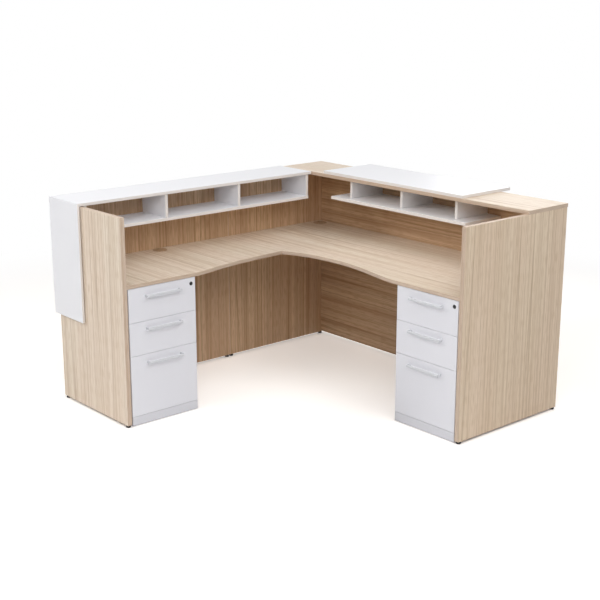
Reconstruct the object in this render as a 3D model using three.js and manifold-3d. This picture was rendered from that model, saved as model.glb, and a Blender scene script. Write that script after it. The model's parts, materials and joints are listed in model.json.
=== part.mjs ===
// An L-shaped reception desk: a main wing and a return wing around one receptionist's seat.
// Millimetres, +Z up. In plan, X runs along the return wing and Y along the main wing.
// The pieces are placed from the outer faces of the two free end gables, where X = 0 and Y = 0,
// and the whole desk is then moved so that its origin is the middle of its footprint, on the floor.

import * as THREE from 'three';
import { mergeVertices } from 'three/addons/utils/BufferGeometryUtils.js';
import Module from 'manifold-3d';

const wasm = await Module();
wasm.setup();

// Driving dimensions

const FIT = 0.3;                    // gap left between pieces that touch
const MAIN_LENGTH = 1822;           // main wing, along Y, over its two gables
const RETURN_LENGTH = 1825;         // return wing, along X, out to the main visitor face
const MAIN_DEPTH = 750;             // main wing, front edge to visitor face
const RETURN_DEPTH = 609;           // return wing, front edge to visitor face
const CAP_HEIGHT = 1080;            // floor to the top of the wood cap
const WORK_HEIGHT = 726;            // floor to the top of the worksurfaces

const GABLE = 25;                   // end gables and the return visitor panel
const BOARD = 19;                   // main visitor panel, cap and worksurfaces
const COUNTER = 16;                 // white counters and the waterfall end
const SHELF_BOARD = 16;             // hutch shelves and dividers, pedestal carcases

const GLIDE_HEIGHT = 12;            // gables stand this far off the floor
const GLIDE_RADIUS = 12;
const GLIDE_INSET = 16;             // glide centre from the end of its gable
const MAIN_PANEL_LIFT = 18;         // the main visitor panel hangs between its gables

const CAP_WIDTH = 305;
const CAP_OVERHANG = 5;             // cap past the visitor faces
const MAIN_COUNTER = { start: 422, end: 1470, width: 373 };
const RETURN_COUNTER = { front: 1572, width: 278 };
const WATERFALL_BOTTOM = 466;

const RETURN_SHELF = { bottom: 924, front: 1576, end: 1505, dividerSetback: 3 };
const RETURN_UPRIGHTS = { divider_left: 513, divider_right: 994, shelf_end_right: 1489 };
const MAIN_SHELF = { bottom: 943, start: 398, end: 1403, middle: 889, spacing: 391, dividerSetback: 40 };

const RETURN_PANEL_END = 1089;      // where the return panel meets the far gable
const SEAM = { x: 1075, y: 1300 };  // inner end of the joint between the worksurfaces
const KNEE_START = 440;             // the front edges run straight this far, over the pedestals
const KNEE_DEPTH = 75;              // how far the main front edge draws in
const KNEE_MIDDLE = 930;            // where it is drawn in furthest
const RETURN_CURVE = { start: 100, end: [465, 14] };                     // how far each curve's
const MAIN_CURVE = { start: 120, middle: [190, 130], end: [55, 100] };   // handles reach from its ends
const CLEAT = { size: 20, clear: 10, returnStart: 640 };
const SEAM_PLATE = { reach: 60, start: 140, length: 260, thick: 3 };

const GROMMET = { hole: 35, bore: 32, flange: 40, lip: 2, cap: 3, depth: 17, slot: [18, 8, 30] };
const RETURN_GROMMET = [586, 1752];
const CORNER_GROMMET = [1738, 1734];

const PEDESTAL = { width: 397, depth: 560, sideGap: 8, setback: 4, floor: 47, plinthLift: 3 };
const FRONT = 18;                   // drawer front thickness
const FRONT_GAP = 1.6;              // reveal between drawer fronts
const CARCASE_FRONT = 20;           // carcase edge behind the face of the fronts
const FRONT_LEVELS = [49, 361, 531, 705.3];   // reveals: plinth, file, middle and top drawers
const DRAWER = { wall: 12, bottom: 10, length: 500, side: 12.7, fileHeight: 250, boxHeight: 110 };
const DRAWER_LIFT = { file: 28, middle: 14, top: 14 };   // underside of each box above its front's lower edge
const SLIDE = { rail: 6, height: 45, start: 26, length: 490, running: 0.5, runnerInset: 25 };
const SLIDE_STRIP = { thick: 1.5, width: 20, inset: 40 };
const PULL = { length: 210, reach: 26, height: 13, bar: 6, leg: 9, bend: 5 };
const PULL_BELOW = { file: 41, middle: 37, top: 45 };   // level of each pull under the top of its front
const LOCK = { radius: 8, proud: 2, side: 25, below: 31, cam: 16, camWidth: 10, camThick: 2, running: 0.2 };

// Sizes that follow

const DECK = CAP_HEIGHT - BOARD;                      // the gables' top, under the cap and the counters
const RETURN_FRONT = MAIN_LENGTH - RETURN_DEPTH;      // return wing's front edge
const MAIN_FRONT = RETURN_LENGTH - MAIN_DEPTH;        // main wing's front edge
const MAIN_INSIDE = RETURN_LENGTH - BOARD;            // inner face of the main visitor panel
const FAR_INSIDE = MAIN_LENGTH - GABLE;               // inner face of the far gable and the return panel
const CAP_FRONT = RETURN_LENGTH + CAP_OVERHANG - CAP_WIDTH;
const WORK_UNDERSIDE = WORK_HEIGHT - BOARD;
const COUNTER_DECK = CAP_HEIGHT - COUNTER;            // underside of the return counter
const COUNTER_BACK = RETURN_COUNTER.front + RETURN_COUNTER.width;
const FOOTPRINT = {
  x: [-COUNTER, CAP_FRONT + MAIN_COUNTER.width],
  y: [0, COUNTER_BACK],
};

// Finishes

const finishes = {
  oak: { color: '#d6c3a6', roughness: 0.55, metalness: 0 },
  white: { color: '#ececee', roughness: 0.45, metalness: 0 },
  drawerBox: { color: '#e2ded6', roughness: 0.6, metalness: 0 },
  aluminium: { color: '#c9cacc', roughness: 0.35, metalness: 1 },
  steel: { color: '#a9abad', roughness: 0.4, metalness: 1 },
  blackPlastic: { color: '#17171a', roughness: 0.5, metalness: 0 },
  tanPlastic: { color: '#b79a78', roughness: 0.5, metalness: 0 },
};

function piece(name, geometry, finish) {
  const mesh = new THREE.Mesh(geometry, new THREE.MeshStandardMaterial(finishes[finish]));
  mesh.name = name;
  return mesh;
}

// A board between two values on each axis.
function boardGeometry([x0, x1], [y0, y1], [z0, z1]) {
  const geometry = new THREE.BoxGeometry(x1 - x0, y1 - y0, z1 - z0);
  geometry.translate((x0 + x1) / 2, (y0 + y1) / 2, (z0 + z1) / 2);
  return geometry;
}

function board(name, x, y, z, finish) {
  return piece(name, boardGeometry(x, y, z), finish);
}

// A plan outline raised between two heights.
function raised(shape, z0, z1, curveSegments = 16) {
  const geometry = new THREE.ExtrudeGeometry(shape, { depth: z1 - z0, bevelEnabled: false, curveSegments });
  geometry.translate(0, 0, z0);
  return geometry;
}

function circle(path, x, y, radius) {
  path.absarc(x, y, radius, 0, 2 * Math.PI, false);
  return path;
}

// Joining and cutting of closed solids.
function solid(geometry) {
  const bare = geometry.clone();
  bare.deleteAttribute('normal');
  bare.deleteAttribute('uv');
  const merged = mergeVertices(bare);
  return new wasm.Manifold(new wasm.Mesh({
    numProp: 3,
    vertProperties: new Float32Array(merged.attributes.position.array),
    triVerts: new Uint32Array(merged.index.array),
  }));
}

function surface(manifold) {
  const mesh = manifold.getMesh();
  const geometry = new THREE.BufferGeometry();
  geometry.setAttribute('position', new THREE.BufferAttribute(new Float32Array(mesh.vertProperties), 3));
  geometry.setIndex(new THREE.BufferAttribute(new Uint32Array(mesh.triVerts), 1));
  geometry.computeVertexNormals();
  return geometry;
}

function joined(geometries) {
  return surface(geometries.map(solid).reduce((whole, next) => whole.add(next)));
}

function cut(geometry, tools) {
  return surface(tools.map(solid).reduce((rest, tool) => rest.subtract(tool), solid(geometry)));
}

// Gables, panels, cap and counters

function shell() {
  const up = [GLIDE_HEIGHT, DECK - FIT];
  const mainWing = [
    board('right_gable', [MAIN_FRONT, RETURN_LENGTH], [0, GABLE], up, 'oak'),
    board('far_gable', [RETURN_PANEL_END + FIT, RETURN_LENGTH], [FAR_INSIDE, MAIN_LENGTH], up, 'oak'),
    board('main_panel', [MAIN_INSIDE, RETURN_LENGTH], [GABLE + FIT, FAR_INSIDE - FIT],
      [MAIN_PANEL_LIFT, DECK - FIT], 'oak'),
    board('main_cap', [CAP_FRONT, RETURN_LENGTH + CAP_OVERHANG], [0, MAIN_LENGTH + CAP_OVERHANG],
      [DECK, CAP_HEIGHT], 'oak'),
    board('main_counter', [CAP_FRONT, CAP_FRONT + MAIN_COUNTER.width], [MAIN_COUNTER.start, MAIN_COUNTER.end],
      [CAP_HEIGHT + FIT, CAP_HEIGHT + FIT + COUNTER], 'white'),
  ];
  const returnWing = [
    board('return_gable', [0, GABLE], [RETURN_FRONT, MAIN_LENGTH], up, 'oak'),
    board('return_panel', [GABLE + FIT, RETURN_PANEL_END], [FAR_INSIDE, MAIN_LENGTH],
      [GLIDE_HEIGHT, COUNTER_DECK - FIT], 'oak'),
    ...foldedCounter(),
  ];
  return [...mainWing, ...returnWing];
}

// The return counter and its waterfall end meet in a mitre over the gable.
function foldedCounter() {
  const end = CAP_FRONT - FIT;
  const open = FIT / 2;
  const top = new THREE.Shape();
  top.moveTo(open, COUNTER_DECK);
  top.lineTo(end, COUNTER_DECK);
  top.lineTo(end, CAP_HEIGHT);
  top.lineTo(open - COUNTER, CAP_HEIGHT);
  const fall = new THREE.Shape();
  fall.moveTo(-COUNTER, WATERFALL_BOTTOM);
  fall.lineTo(-FIT, WATERFALL_BOTTOM);
  fall.lineTo(-FIT, COUNTER_DECK - open + FIT);
  fall.lineTo(-COUNTER, CAP_HEIGHT - open);
  return [
    piece('return_counter', acrossReturn(top), 'white'),
    piece('waterfall_panel', acrossReturn(fall), 'white'),
  ];
}

// An outline in X and Z, drawn out over the width of the return counter.
function acrossReturn(shape) {
  const geometry = new THREE.ExtrudeGeometry(shape, { depth: RETURN_COUNTER.width, bevelEnabled: false });
  geometry.rotateX(Math.PI / 2);
  geometry.translate(0, COUNTER_BACK, 0);
  return geometry;
}

// Letter hutches under the counters

function returnHutch() {
  const { bottom, front, end, dividerSetback } = RETURN_SHELF;
  const shelfTop = bottom + SHELF_BOARD;
  const first = GABLE + FIT;
  const places = Object.entries({ shelf_end_left: first, ...RETURN_UPRIGHTS });
  const uprights = places.map(([name, x]) =>
    board(`return_${name}`, [x, x + SHELF_BOARD], [front + dividerSetback, FAR_INSIDE - FIT],
      [shelfTop + FIT, COUNTER_DECK - FIT], 'white'));
  const shelf = board('return_shelf', [first, end], [front, FAR_INSIDE - FIT], [bottom, shelfTop], 'white');
  return [shelf, ...uprights];
}

function mainHutch() {
  const { bottom, start, end, middle, spacing, dividerSetback } = MAIN_SHELF;
  const shelfTop = bottom + SHELF_BOARD;
  const names = ['main_divider_right', 'main_divider_middle', 'main_divider_left'];
  const uprights = names.map((name, i) => {
    const y = middle + (i - 1) * spacing;
    return board(name, [CAP_FRONT + dividerSetback, MAIN_INSIDE - FIT],
      [y - SHELF_BOARD / 2, y + SHELF_BOARD / 2], [shelfTop + FIT, DECK - FIT], 'white');
  });
  const shelf = board('main_shelf', [CAP_FRONT, MAIN_INSIDE - FIT], [start, end],
    [bottom, shelfTop], 'white');
  return [shelf, ...uprights];
}

// Worksurfaces, with the front edges drawn in at the knees, and what carries and joins them

function worksurfaces() {
  const inside = GABLE + FIT;
  const back = FAR_INSIDE - FIT;
  const returnTop = new THREE.Shape();
  returnTop.moveTo(inside, RETURN_FRONT);
  returnTop.lineTo(KNEE_START, RETURN_FRONT);
  returnTop.bezierCurveTo(KNEE_START + RETURN_CURVE.start, RETURN_FRONT,
    SEAM.x - RETURN_CURVE.end[0], SEAM.y - RETURN_CURVE.end[1], SEAM.x - FIT, SEAM.y);
  returnTop.lineTo(SEAM.x - FIT, back);
  returnTop.lineTo(inside, back);
  returnTop.holes.push(circle(new THREE.Path(), ...RETURN_GROMMET, GROMMET.hole + FIT));

  const deepest = MAIN_FRONT + KNEE_DEPTH;
  const mainTop = new THREE.Shape();
  mainTop.moveTo(MAIN_FRONT, inside);
  mainTop.lineTo(MAIN_INSIDE - FIT, inside);
  mainTop.lineTo(MAIN_INSIDE - FIT, back);
  mainTop.lineTo(SEAM.x, back);
  mainTop.lineTo(SEAM.x, SEAM.y);
  mainTop.bezierCurveTo(SEAM.x + MAIN_CURVE.end[0], SEAM.y - MAIN_CURVE.end[1],
    deepest, KNEE_MIDDLE + MAIN_CURVE.middle[1], deepest, KNEE_MIDDLE);
  mainTop.bezierCurveTo(deepest, KNEE_MIDDLE - MAIN_CURVE.middle[0],
    MAIN_FRONT, KNEE_START + MAIN_CURVE.start, MAIN_FRONT, KNEE_START);
  mainTop.holes.push(circle(new THREE.Path(), ...CORNER_GROMMET, GROMMET.hole + FIT));

  return [
    piece('return_worksurface', raised(returnTop, WORK_UNDERSIDE, WORK_HEIGHT), 'oak'),
    piece('main_worksurface', raised(mainTop, WORK_UNDERSIDE, WORK_HEIGHT), 'oak'),
  ];
}

function worksurfaceSupports() {
  const top = WORK_UNDERSIDE - FIT;
  const { size, clear, returnStart } = CLEAT;
  const { reach, start, length, thick } = SEAM_PLATE;
  return [
    board('return_cleat', [returnStart, SEAM.x - clear], [FAR_INSIDE - FIT - size, FAR_INSIDE - FIT],
      [top - size, top], 'oak'),
    board('main_cleat', [MAIN_INSIDE - FIT - size, MAIN_INSIDE - FIT], [KNEE_START, FAR_INSIDE - clear],
      [top - size, top], 'oak'),
    board('seam_plate', [SEAM.x - reach, SEAM.x + reach], [SEAM.y + start, SEAM.y + start + length],
      [top - thick, top], 'steel'),
  ];
}

// A capped cable grommet: a sleeve, a flange that lies on the worksurface, and a cap with a cable slot.
function grommet(name, [x, y]) {
  const { hole, bore, flange, lip, cap, depth, slot } = GROMMET;
  const top = FIT + lip;
  const profile = [
    [0, top - cap], [bore, top - cap], [bore, -depth], [hole, -depth],
    [hole, FIT], [flange, FIT], [flange, top], [0, top],
  ].map(([radius, height]) => new THREE.Vector2(radius, height));
  const turned = new THREE.LatheGeometry(profile, 40);
  turned.rotateX(Math.PI / 2);
  const [slotWidth, slotStart, slotEnd] = slot;
  const notch = boardGeometry([-slotWidth / 2, slotWidth / 2], [slotStart, slotEnd], [-depth, top + 1]);
  const geometry = cut(turned, [notch]);
  geometry.translate(x, y, WORK_HEIGHT);
  return piece(name, geometry, 'tanPlastic');
}

// Levelling glides: a threaded stem in a round plastic foot

function glide(name, x, y) {
  const stem = 5;
  const rim = 2;
  const footTop = 10;
  const profile = [
    [0, 0], [GLIDE_RADIUS - rim, 0], [GLIDE_RADIUS, rim], [GLIDE_RADIUS, footTop - rim], [stem, footTop],
    [stem, GLIDE_HEIGHT - FIT], [0, GLIDE_HEIGHT - FIT],
  ].map(([radius, height]) => new THREE.Vector2(radius, height));
  const geometry = new THREE.LatheGeometry(profile, 20);
  geometry.rotateX(Math.PI / 2);
  geometry.translate(x, y, 0);
  return piece(name, geometry, 'blackPlastic');
}

function glides() {
  const gableMiddle = GABLE / 2;
  const farMiddle = MAIN_LENGTH - gableMiddle;
  return [
    glide('glide_return_gable_front', gableMiddle, RETURN_FRONT + GLIDE_INSET),
    glide('glide_return_gable_back', gableMiddle, MAIN_LENGTH - GLIDE_INSET),
    glide('glide_return_panel', RETURN_PANEL_END - GLIDE_INSET, farMiddle),
    glide('glide_far_gable_front', RETURN_PANEL_END + GLIDE_INSET, farMiddle),
    glide('glide_far_gable_corner', RETURN_LENGTH - GLIDE_INSET, farMiddle),
    glide('glide_right_gable_front', MAIN_FRONT + GLIDE_INSET, gableMiddle),
    glide('glide_right_gable_back', RETURN_LENGTH - GLIDE_INSET, gableMiddle),
  ];
}

// Pedestals. In a pedestal's own frame, X runs across its face, left to right as the user sees it,
// Y runs into the desk from the face of the drawer fronts, and Z is up.

const CAVITY = [SHELF_BOARD, PEDESTAL.width - SHELF_BOARD];
const BOX_WIDTH = [CAVITY[0] + DRAWER.side, CAVITY[1] - DRAWER.side];
const CARCASE_TOP = WORK_UNDERSIDE - FIT;

const drawers = ['file', 'middle', 'top'].map((name, i) => {
  const front = [FRONT_LEVELS[i] + FRONT_GAP / 2, FRONT_LEVELS[i + 1] - FRONT_GAP / 2];
  const height = name === 'file' ? DRAWER.fileHeight : DRAWER.boxHeight;
  const bottom = front[0] + DRAWER_LIFT[name];
  return { name, front, box: [bottom, bottom + height], slide: bottom + SLIDE.height };
});

function carcase() {
  const whole = boardGeometry([0, PEDESTAL.width], [CARCASE_FRONT, PEDESTAL.depth], [0, CARCASE_TOP]);
  const depth = [CARCASE_FRONT - 1, PEDESTAL.depth - SHELF_BOARD];
  const bay = boardGeometry(CAVITY, depth, [PEDESTAL.floor + SHELF_BOARD, CARCASE_TOP - SHELF_BOARD]);
  const underneath = boardGeometry(CAVITY, depth, [-1, PEDESTAL.floor]);
  return cut(whole, [bay, underneath]);
}

// Three fixed rails on one side of a pedestal, carried by two upright strips.
function slideFrame(side) {
  const inner = side === 'left' ? CAVITY[0] + FIT : CAVITY[1] - FIT;
  const into = side === 'left' ? 1 : -1;
  const span = (depth) => [inner, inner + into * depth].sort((a, b) => a - b);
  const { rail, height, start, length } = SLIDE;
  const { thick, width, inset } = SLIDE_STRIP;
  const rails = drawers.map(({ slide }) =>
    boardGeometry(span(rail), [start, start + length], [slide - height / 2, slide + height / 2]));
  const low = drawers[0].slide;
  const high = drawers[drawers.length - 1].slide;
  const strips = [start + inset, start + length - inset - width].map((y) =>
    boardGeometry(span(thick), [y, y + width], [low, high]));
  return joined([...rails, ...strips]);
}

// An open-topped box with a slide runner on each side.
function drawerBox({ box, slide }) {
  const back = FRONT + FIT + DRAWER.length;
  const [left, right] = BOX_WIDTH;
  const { wall, bottom } = DRAWER;
  const shell = boardGeometry([left, right], [FRONT + FIT, back], box);
  const inside = boardGeometry([left + wall, right - wall], [FRONT + FIT + wall, back - wall],
    [box[0] + bottom, box[1] + 1]);
  const runner = DRAWER.side - FIT - SLIDE.rail - SLIDE.running;
  const along = [SLIDE.start + SLIDE.runnerInset, back - SLIDE.runnerInset];
  const level = [slide - SLIDE.height / 2, slide + SLIDE.height / 2];
  const runners = [
    boardGeometry([left - runner, left + 1], along, level),
    boardGeometry([right - 1, right + runner], along, level),
  ];
  return cut(joined([shell, ...runners]), [inside]);
}

const LOCK_AT = { x: PEDESTAL.width - LOCK.side, z: FRONT_LEVELS[3] - FRONT_GAP / 2 - LOCK.below };

// A drawer front lies over the whole width of the pedestal. The top one is bored for the lock.
function drawerFront({ name, front }) {
  const shape = new THREE.Shape();
  shape.moveTo(0, front[0]);
  shape.lineTo(PEDESTAL.width, front[0]);
  shape.lineTo(PEDESTAL.width, front[1]);
  shape.lineTo(0, front[1]);
  if (name === 'top') {
    shape.holes.push(circle(new THREE.Path(), LOCK_AT.x, LOCK_AT.z, LOCK.radius + LOCK.running));
  }
  const geometry = new THREE.ExtrudeGeometry(shape, { depth: FRONT, bevelEnabled: false, curveSegments: 16 });
  geometry.rotateX(Math.PI / 2);
  geometry.translate(0, FRONT, 0);
  return geometry;
}

// A bar pull: a flat bar that stands off the drawer front on two legs, with rounded outer corners.
function drawerPull({ name, front }) {
  const { length, reach, height, bar, leg, bend } = PULL;
  const half = length / 2;
  const inside = half - leg;
  const plan = new THREE.Shape();
  plan.moveTo(-half, -FIT);
  plan.lineTo(-half, bend - reach);
  plan.absarc(bend - half, bend - reach, bend, Math.PI, 1.5 * Math.PI, false);
  plan.lineTo(half - bend, -reach);
  plan.absarc(half - bend, bend - reach, bend, -Math.PI / 2, 0, false);
  plan.lineTo(half, -FIT);
  plan.lineTo(inside, -FIT);
  plan.lineTo(inside, bar - reach);
  plan.lineTo(-inside, bar - reach);
  plan.lineTo(-inside, -FIT);
  const geometry = raised(plan, -height / 2, height / 2, 8);
  geometry.translate(PEDESTAL.width / 2, 0, front[1] - PULL_BELOW[name]);
  return geometry;
}

// The turning part of a cam lock: a plug through the front, with its cam behind.
function lockCylinder() {
  const { radius, proud, cam, camWidth, camThick } = LOCK;
  const behind = FRONT + FIT;
  const plug = new THREE.CylinderGeometry(radius, radius, behind + proud + camThick / 2, 32);
  plug.translate(0, (behind + camThick / 2 - proud) / 2, 0);
  const arm = boardGeometry([-cam, 0], [behind, behind + camThick], [-camWidth / 2, camWidth / 2]);
  const geometry = joined([plug, arm]);
  geometry.translate(LOCK_AT.x, 0, LOCK_AT.z);
  return geometry;
}

function pedestal(wing) {
  const group = new THREE.Group();
  const plinthHeights = [PEDESTAL.plinthLift, FRONT_LEVELS[0] - FRONT_GAP / 2];
  group.add(
    piece(`${wing}_pedestal_carcase`, carcase(), 'white'),
    board(`${wing}_pedestal_plinth`, [0, PEDESTAL.width], [0, CARCASE_FRONT - FIT], plinthHeights, 'white'),
    piece(`${wing}_slides_left`, slideFrame('left'), 'steel'),
    piece(`${wing}_slides_right`, slideFrame('right'), 'steel'),
    piece(`${wing}_lock`, lockCylinder(), 'blackPlastic'),
  );
  for (const drawer of drawers) {
    group.add(
      piece(`${wing}_${drawer.name}_drawer_front`, drawerFront(drawer), 'white'),
      piece(`${wing}_${drawer.name}_drawer_box`, drawerBox(drawer), 'drawerBox'),
      piece(`${wing}_${drawer.name}_drawer_pull`, drawerPull(drawer), 'aluminium'),
    );
  }
  return group;
}

// The return pedestal faces -Y beside its gable, and the main one faces -X beside its gable.
function pedestals() {
  const returnPedestal = pedestal('return');
  returnPedestal.position.set(GABLE + PEDESTAL.sideGap, RETURN_FRONT + PEDESTAL.setback, 0);
  const mainPedestal = pedestal('main');
  mainPedestal.rotation.z = -Math.PI / 2;
  mainPedestal.position.set(MAIN_FRONT + PEDESTAL.setback, GABLE + PEDESTAL.sideGap + PEDESTAL.width, 0);
  return [returnPedestal, mainPedestal];
}

const desk = new THREE.Group();
desk.add(
  ...shell(),
  ...returnHutch(),
  ...mainHutch(),
  ...worksurfaces(),
  ...worksurfaceSupports(),
  grommet('return_grommet', RETURN_GROMMET),
  grommet('corner_grommet', CORNER_GROMMET),
  ...glides(),
  ...pedestals(),
);
desk.position.set(-(FOOTPRINT.x[0] + FOOTPRINT.x[1]) / 2, -(FOOTPRINT.y[0] + FOOTPRINT.y[1]) / 2, 0);

export default desk;
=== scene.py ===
# %% [markdown]
# # An L-shaped reception desk
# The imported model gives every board, drawer and fitting at its real size and place, in metres.
# This lesson dresses those solids: boards get eased edges and a wood figure that follows their grain,
# and the small fittings are modelled again with the shapes that the eye expects up close.
# Nothing is moved or resized, so each cell reads its places from the frame.

# %% Load the frame
import json
import math

import bmesh
import bpy
from mathutils import Matrix, Vector


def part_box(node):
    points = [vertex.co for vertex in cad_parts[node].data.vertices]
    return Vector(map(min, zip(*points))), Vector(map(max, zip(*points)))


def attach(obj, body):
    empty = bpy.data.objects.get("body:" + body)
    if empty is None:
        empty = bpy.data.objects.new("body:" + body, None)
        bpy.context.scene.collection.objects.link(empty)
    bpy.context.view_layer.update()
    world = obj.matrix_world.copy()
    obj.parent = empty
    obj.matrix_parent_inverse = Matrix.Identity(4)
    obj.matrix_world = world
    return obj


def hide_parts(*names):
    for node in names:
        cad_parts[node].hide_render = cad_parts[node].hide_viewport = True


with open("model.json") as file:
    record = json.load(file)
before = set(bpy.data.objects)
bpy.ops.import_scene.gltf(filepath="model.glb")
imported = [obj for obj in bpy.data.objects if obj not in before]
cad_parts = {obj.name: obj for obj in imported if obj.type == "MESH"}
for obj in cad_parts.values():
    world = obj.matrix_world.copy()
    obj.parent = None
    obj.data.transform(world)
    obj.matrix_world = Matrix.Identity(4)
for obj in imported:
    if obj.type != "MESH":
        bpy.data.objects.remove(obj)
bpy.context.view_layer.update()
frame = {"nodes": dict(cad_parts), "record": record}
MM = 0.001
nodes = frame["nodes"]
scene = bpy.context.scene
body_of = {node: body for body, group in frame["record"]["behaviour"]["bodies"].items() for node in group}

# %% [markdown]
# ## Camera
# The desk is seen from the receptionist's side, a little above counter height, through a short
# telephoto. Place and turn were solved from the desk's own corners, so the render can be laid over
# the photograph. A camera could track an empty instead, but plain angles keep the horizon level.

# %% Camera
CAMERA_PLACE = Vector((-3.878, -4.398, 2.160))
CAMERA_DOWN = 15.34                 # degrees below the horizon
CAMERA_TURN = 40.93                 # degrees clockwise from +Y
LENS = 70.76                        # mm, on a sensor 36 mm wide

lens = bpy.data.cameras.new("photo_camera")
lens.lens = LENS
lens.sensor_width = 36
camera = bpy.data.objects.new("photo_camera", lens)
camera.location = CAMERA_PLACE
camera.rotation_euler = (math.radians(90 - CAMERA_DOWN), 0, math.radians(-CAMERA_TURN))
scene.collection.objects.link(camera)
scene.camera = camera
print(f"camera {CAMERA_PLACE.length:.2f} m from the desk's centre")

# %% [markdown]
# ## Colours and nodes
# Finishes are chosen as sRGB hex values, as on a paint card, but shaders work with linear light.
# One function converts them. A second one adds any node with its settings and links, which keeps
# the node trees below short enough to read as recipes.

# %% Helpers for colours and nodes
def linear(hex_colour):
    """An sRGB hex value as linear RGBA."""
    shares = [int(hex_colour[i:i + 2], 16) / 255 for i in (1, 3, 5)]
    return (*[c / 12.92 if c <= 0.04045 else ((c + 0.055) / 1.055) ** 2.4 for c in shares], 1)


def add(tree, kind, inputs=None, **settings):
    """One node: its settings, then each input as a value, a socket to link, or a list of sockets."""
    node = tree.nodes.new(kind)
    for name, value in settings.items():
        setattr(node, name, value)
    for key, value in (inputs or {}).items():
        for feed in value if isinstance(value, list) else [value]:
            if isinstance(feed, bpy.types.NodeSocket):
                tree.links.new(feed, node.inputs[key])
            else:
                node.inputs[key].default_value = feed
    return node


print("pale oak is", [round(c, 3) for c in linear("#E0D0C0")[:3]], "in linear light")

# %% [markdown]
# ## Studio
# The desk stands on a white sweep under soft light. The world is white where the camera, a
# reflection or a clear part sees it, and a dimmer sky for everything that it lights. The floor does
# the same: to the camera it is a white card that keeps the desk's shadow and glows a little, a
# painted light which an ambient occlusion node dims close under the desk's edges into a painted
# contact shadow, with a warm tint that stands in for light bounced off the wood; it fades into the
# white world with distance, and to the light it is ordinary pale lino that sends some light back up.

# %% World
SKY = 0.005                         # how strongly the white world lights a surface that sees all of it

scene.view_settings.view_transform = "Standard"
world = bpy.data.worlds.new("white_studio")
world.use_nodes = True
world.node_tree.nodes.clear()
scene.world = world


def seen_directly(tree):
    """A socket that is 1 for rays that show a surface to the eye, straight or by reflection."""
    path = add(tree, "ShaderNodeLightPath").outputs
    shown = add(tree, "ShaderNodeMath", {0: path["Is Camera Ray"], 1: path["Is Glossy Ray"]}, operation="MAXIMUM")
    return add(tree, "ShaderNodeMath", {0: shown.outputs[0], 1: path["Is Transmission Ray"]},
               operation="MAXIMUM").outputs[0]


tree = world.node_tree
sky = add(tree, "ShaderNodeBackground", {"Color": linear("#FFFFFF"), "Strength": SKY})
white = add(tree, "ShaderNodeBackground", {"Color": linear("#FFFFFF"), "Strength": 1.0})
either = add(tree, "ShaderNodeMixShader", {0: seen_directly(tree), 1: sky.outputs[0], 2: white.outputs[0]})
add(tree, "ShaderNodeOutputWorld", {"Surface": either.outputs[0]})
print("sky strength", SKY)

# %% Floor
FLOOR_HALF = 30.0
FLOOR_DROP = 0.2 * MM               # keeps the floor clear of the pedestals' undersides
FADE = (2.2, 4.2)                   # metres from the desk's middle, where the floor turns plain white
FLOOR_LIFT = 0.38                   # light added to the white card as the camera sees it
CONTACT = 30 * MM                   # the added light dies away this close under an edge

floor_finish = bpy.data.materials.new("white_sweep")
floor_finish.use_nodes = True
tree = floor_finish.node_tree
tree.nodes.clear()
place = add(tree, "ShaderNodeTexCoord").outputs["Object"]
distance = add(tree, "ShaderNodeVectorMath", {0: place}, operation="LENGTH").outputs["Value"]
fade = add(tree, "ShaderNodeMapRange", {"Value": distance, "From Min": FADE[0], "From Max": FADE[1]},
           interpolation_type="SMOOTHSTEP")
lino = add(tree, "ShaderNodeBsdfDiffuse", {"Color": linear("#F7F6F5")})
card = add(tree, "ShaderNodeBsdfDiffuse", {"Color": linear("#FCFAF8")})
# ambient occlusion dims the glow close under the desk's edges: a painted contact shadow on the floor
open_sky = add(tree, "ShaderNodeAmbientOcclusion", {"Distance": CONTACT}).outputs["AO"]
lift = add(tree, "ShaderNodeMath", {0: open_sky, 1: FLOOR_LIFT}, operation="MULTIPLY").outputs[0]
# the glow's warm tint is painted light, for light bounced off the wood
glow = add(tree, "ShaderNodeEmission", {"Color": linear("#FFF9F4"), "Strength": lift})
lifted = add(tree, "ShaderNodeAddShader", {0: card.outputs[0], 1: glow.outputs[0]})
plain = add(tree, "ShaderNodeEmission", {"Color": linear("#FFFFFF"), "Strength": 1.0})
sweep = add(tree, "ShaderNodeMixShader", {0: fade.outputs[0], 1: lifted.outputs[0], 2: plain.outputs[0]})
either = add(tree, "ShaderNodeMixShader", {0: seen_directly(tree), 1: lino.outputs[0], 2: sweep.outputs[0]})
add(tree, "ShaderNodeOutputMaterial", {"Surface": either.outputs[0]})

corners = [(x * FLOOR_HALF, y * FLOOR_HALF, -FLOOR_DROP) for x, y in ((-1, -1), (1, -1), (1, 1), (-1, 1))]
floor_mesh = bpy.data.meshes.new("floor")
floor_mesh.from_pydata(corners, [], [(0, 1, 2, 3)])
floor_mesh.materials.append(floor_finish)
floor = bpy.data.objects.new("floor", floor_mesh)
scene.collection.objects.link(floor)
print("floor fades to white between", FADE, "m")

# %% [markdown]
# ## Lamps
# Soft boxes light the desk, as in a product studio. Two hang over it, one above each wing, and light
# every top. A weaker one hangs behind the corner: the panels cast its shadow on the back of the
# worksurface, so that brightens towards the seat. Three stand in front, on the left, on the right and
# over the camera, and reach in under the hutches and the worksurfaces, where the shade deepens slowly
# from the open side to the back. One behind the left end brightens the outside of that gable, a low
# one fills the visitors' side, and another low one behind the right end is there for its sheen on the
# cap and the counter. One bare dome of sky would be simpler, but it lights every recess alike. Each
# box is given as the share of full light that a card facing it receives, because that is easier to
# judge than watts: for a small lamp it takes pi squared watts at one metre.

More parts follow.
